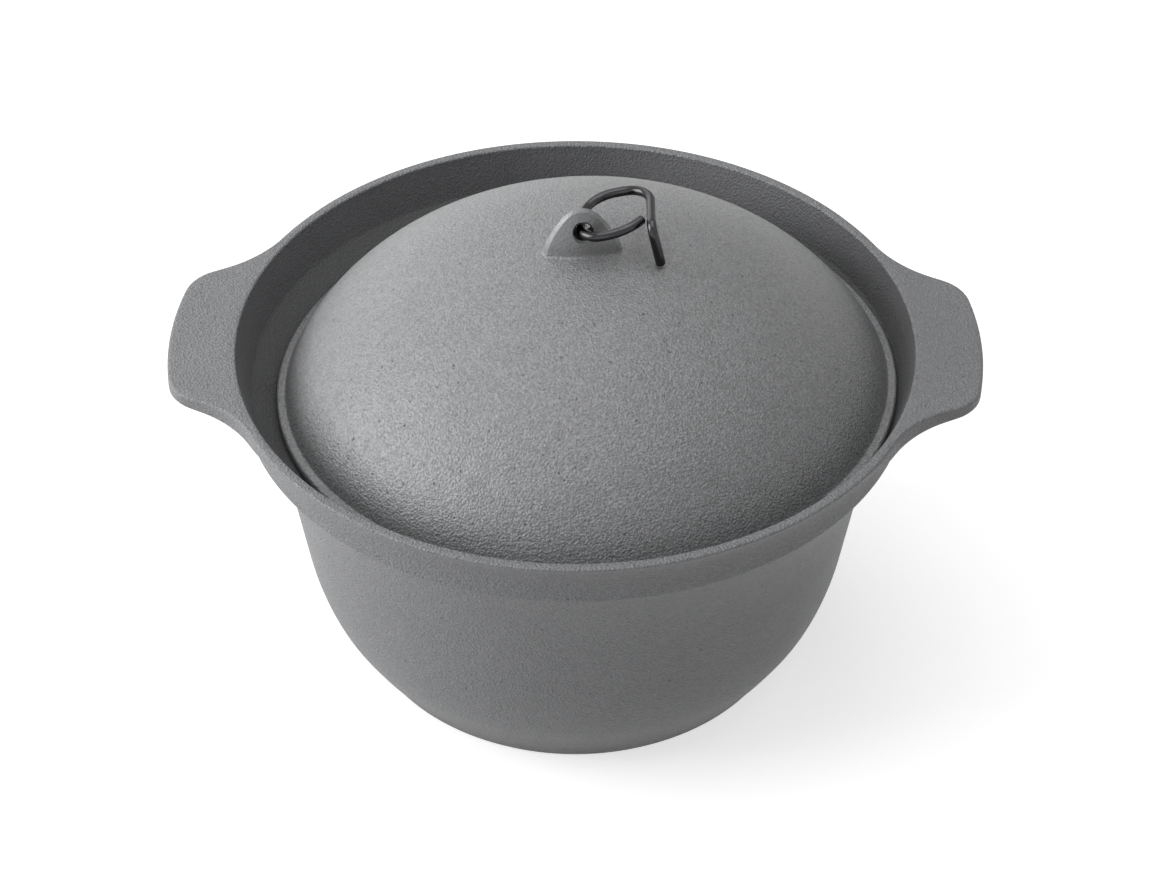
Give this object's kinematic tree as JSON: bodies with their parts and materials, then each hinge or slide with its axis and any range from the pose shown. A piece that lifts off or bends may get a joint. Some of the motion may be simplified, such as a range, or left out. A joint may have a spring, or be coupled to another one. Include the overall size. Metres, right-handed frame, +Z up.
{
  "type": "cast iron rice pot",
  "caption": "Cast iron rice pot with flat side handles, a flared collar, a domed drop-in lid and a bent wire pull ring.",
  "frame": {"origin": "centre of the flat base, on the pot's axis", "axes": "+Z up along the pot's axis, the handles lie along X, and -Y is the side that the picture sees"},
  "size_m": [0.2446, 0.2102, 0.1592],
  "materials": {
    "pot_iron": "matt sand-cast skin",
    "lid_iron": "matt pebbled sand-cast skin",
    "ring_wire": "smooth blackened wire, satin"
  },
  "bodies": {
    "pot": {"pot_body": "pot_iron"},
    "lid": {"lid": "lid_iron"},
    "ring": {"lid_ring": "ring_wire"}
  },
  "joints": [
    {"name": "lid_lift", "type": "slide", "parent": "pot", "child": "lid", "axis": [0, 0, 1], "range_m": [0, 0.14]},
    {"name": "ring_swing", "type": "hinge", "parent": "lid", "child": "ring", "pos_m": [0.00184, -0.001, 0.15233], "axis": [0.0155, -0.9998, 0.015], "range_deg": [0, 185]}
  ]
}
